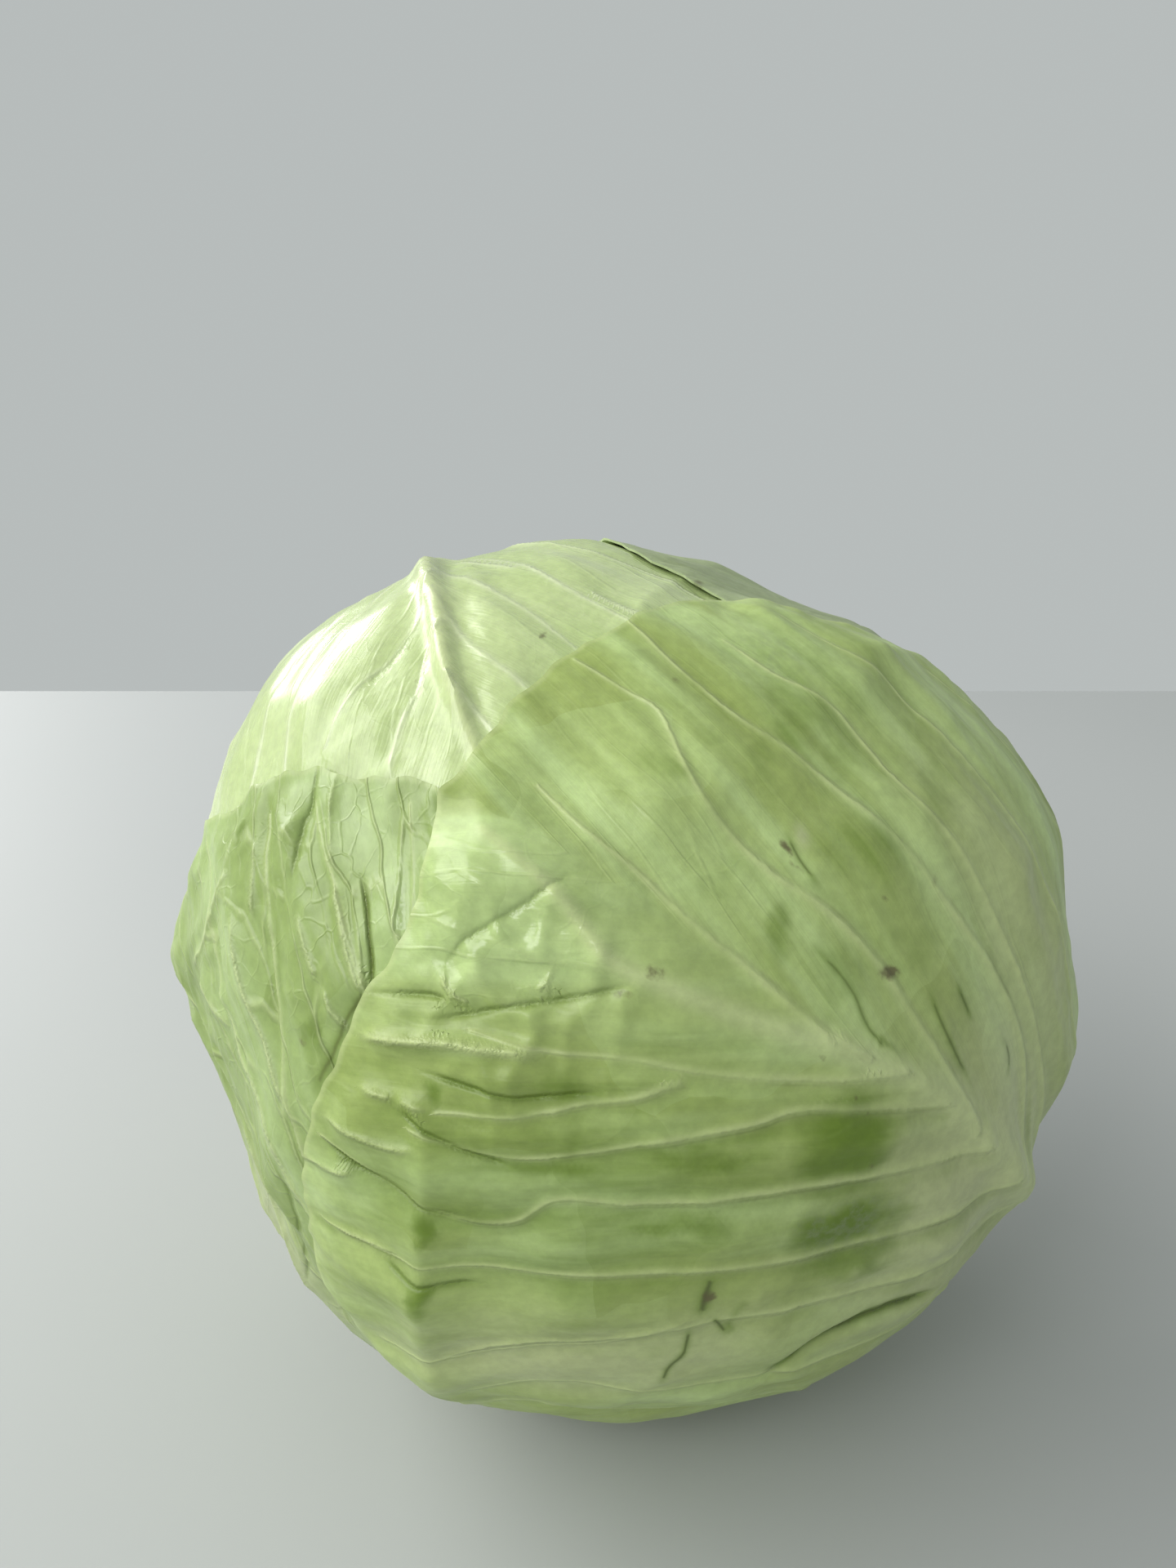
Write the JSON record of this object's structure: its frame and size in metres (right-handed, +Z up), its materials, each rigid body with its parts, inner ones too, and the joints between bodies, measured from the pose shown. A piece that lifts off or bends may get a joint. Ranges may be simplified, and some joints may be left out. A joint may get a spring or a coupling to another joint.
{
  "type": "white cabbage",
  "caption": "Round, firm head of white cabbage lying on its side: broad overlapping leaves wrapped over a packed heart, with a short cut stem.",
  "frame": {"origin": "on the surface that the head rests on, under the middle of its bounding box", "axes": "+Z up; the crown leans towards -Y, the cut stem is low down on the +Y side, +X is to the viewer's right"},
  "size_m": [0.2015, 0.191, 0.1908],
  "materials": {
    "green_leaf": "waxy mid-green leaf with paler veins, satin",
    "fresh_leaf": "crinkled fresh green leaf, satin",
    "dull_leaf": "greyish green leaf, dull satin",
    "pale_leaf": "smooth pale cream-green leaf, glossy",
    "inner_leaf": "pale inner leaf, satin",
    "cut_stem": "cut plant stem, dry and fibrous, matt"
  },
  "bodies": {
    "root": {"front_leaf": "green_leaf", "left_leaf": "fresh_leaf", "right_leaf": "dull_leaf", "top_leaf": "pale_leaf", "rear_leaf": "pale_leaf", "third_leaf_front": "inner_leaf", "third_leaf_right": "inner_leaf", "third_leaf_left": "inner_leaf", "heart": "inner_leaf", "stem": "cut_stem"}
  },
  "joints": []
}
